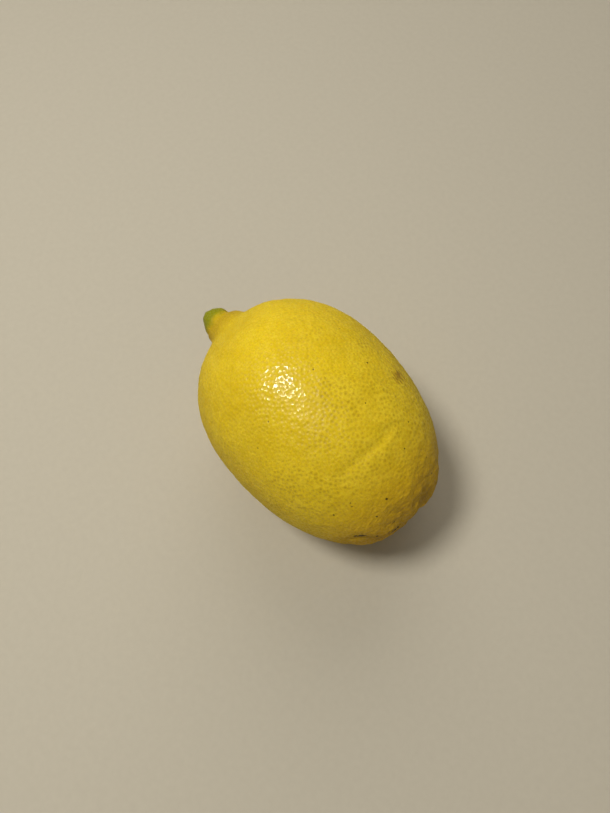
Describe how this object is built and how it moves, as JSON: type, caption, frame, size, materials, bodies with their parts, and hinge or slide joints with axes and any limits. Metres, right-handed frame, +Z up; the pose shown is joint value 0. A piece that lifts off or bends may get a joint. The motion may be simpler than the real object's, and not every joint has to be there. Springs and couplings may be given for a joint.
{
  "type": "lemon",
  "caption": "Whole lemon lying on its side: a pitted yellow peel, a stubby nipple with a green tip at one end and a rounded, faintly ribbed stem end, resting on a small flat spot.",
  "frame": {"origin": "on the surface that the lemon rests on, at the middle of the bottom of its bounding box", "axes": "+X towards the stem end and -X towards the nipple, with the fruit's own axis raised 4.8 degrees at the nipple end; +Z up; the nipple leans a little towards -Y"},
  "size_m": [0.099, 0.0666, 0.0673],
  "materials": {
    "lemon_peel": "waxy citrus peel, semi-gloss, closely pitted with oil glands, greener at the tip of the nipple"
  },
  "bodies": {
    "root": {"lemon": "lemon_peel"}
  },
  "joints": []
}
